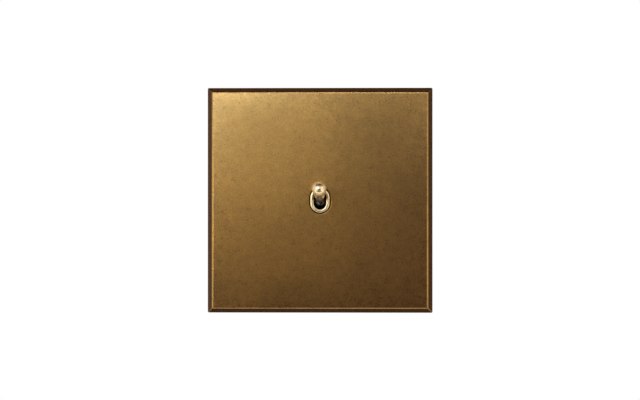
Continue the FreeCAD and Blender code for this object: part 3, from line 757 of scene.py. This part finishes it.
# Name, middle from front to back, width from front to back, tone and strength
for name, y, width, tone, strength in (
        ("card_top", -0.355, 0.39, "#FFE7CB", 0.05),
        ("card_ceiling", -1.03, 0.95, "#FFE8CC", 0.22),
        ("card_above", -0.03, 0.26, "#FFE2A8", 0.08),
        ("card_behind", 0.20, 0.24, "#FFDCAA", 1.0),
        ("card_far_behind", 0.61, 0.58, "#FFDCAA", 0.25)):
    card(name, (0, y, ceiling), strip_length, width, (0, y, 0), tone, strength)
for name, x, y, width, tone, strength in (
        ("card_left", -wall, -0.2, 0.5, "#FFF8EA", 0.45),
        ("card_left_behind", -wall, 0.2, 0.3, "#FFF4E4", 1.0),
        ("card_left_far", -wall, 0.65, 0.6, "#FFF4E4", 0.3),
        ("card_right", wall, -0.2, 0.5, "#FFF6DA", 0.08),
        ("card_right_behind", wall, 0.2, 0.3, "#FFF2DC", 0.95),
        ("card_right_far", wall, 0.65, 0.6, "#FFF2DC", 0.15)):
    card(name, (x, y, 0), width, strip_length, (0, y, 0), tone, strength)
for name, y, length, width, tone, strength in (
        ("card_table", -0.39, table_length, 0.26, "#FFF0CF", 0.08),
        ("card_table_near", -0.17, table_length, 0.18, "#FFEACE", 1.5),
        ("card_bottom", -0.02, strip_length, 0.12, "#FFFAE8", 0.05),
        ("card_beneath", 0.11, strip_length, 0.14, "#FFF0DC", 1.0),
        ("card_beneath_far", 0.33, strip_length, 0.30, "#FFF0DC", 0.15)):
    card(name, (0, y, above_floor), length, width, (0, y, 0), tone, strength)

# %% [markdown]
# ## Lamps
# The face runs from pale gold at the upper left to dark brown at the lower right, and the dolly's shadow falls the
# same way. Satin brass smears a small lamp over a wide patch, so three small cool boxes near the upper left make
# that run, and weaker warm ones fill it lower down. A strip above lights the plate alone, for the bright line
# along its top edge, and one box lights the rocker alone, for the cool glint on the black moulding. One more box
# behind keeps the body of the switch readable from the back.

# %% Set up the lamps
def soft_box(name, place, width, height, power, tone="#FFFFFF", target=(0, 0, 0), roll=0):
    """A flat lamp that faces the switch and isn't seen by the camera."""
    data = bpy.data.lights.new(name, "AREA")
    data.shape = "RECTANGLE"
    data.size = width
    data.size_y = height
    data.energy = power
    data.color = from_hex(tone)[:3]
    lamp = bpy.data.objects.new(name, data)
    scene.collection.objects.link(lamp)
    lamp.visible_camera = False
    lamp.location = place
    turn = (Vector(target) - Vector(place)).to_track_quat("-Z", "Y").to_matrix() @ Matrix.Rotation(roll, 3, "Z")
    lamp.rotation_euler = turn.to_euler()
    return lamp


def light_only(lamp, piece):
    """Lets a lamp light one piece and nothing else."""
    lit = bpy.data.collections.new("lit_by_" + lamp.name)
    lit.objects.link(piece)
    lamp.light_linking.receiver_collection = lit


# Name, place, width and height in metres, power in watts and tone
soft_box("key_box", (-0.074, -0.28, 0.114), 0.06, 0.06, 0.037, "#DDF2FF")
soft_box("key_near", (-0.058, -0.22, 0.09), 0.05, 0.05, 0.016, "#CCE6FF")
soft_box("key_left", (-0.12, -0.28, 0.09), 0.06, 0.06, 0.040, "#ECF8FF")
soft_box("warm_box", (-0.05, -0.33, 0.06), 0.08, 0.08, 0.0166, "#FFFEBE")
soft_box("low_warm_box", (-0.17, -0.3, 0), 0.08, 0.08, 0.0683, "#FFF9C5")
soft_box("fill_box", (-0.04, -0.33, 0.003), 0.08, 0.08, 0.0075, "#FFE79B")
soft_box("right_box", (0.3, -0.25, 0.1), 0.08, 0.08, 0.0165, "#FCFFFC")
top_strip = soft_box("top_strip", (-0.08, -0.36, 0.40), 0.35, 0.04, 0.45, "#FFF6E8", target=(0, 0, 0.04))
light_only(top_strip, plate)
glint = soft_box("glint_box", (-0.085, -0.255, -0.185), 0.17, 0.06, 0.15, "#D8F2FF", roll=math.radians(-45))
light_only(glint, frame["nodes"]["rocker"])
soft_box("back_box", (0.4, 0.7, 0.5), 0.5, 0.5, 4.0)

# %% [markdown]
# ## Close
# The picture uses the plain view transform, so that a colour shows as it is written.

# %% Close
scene.view_settings.view_transform = "Standard"
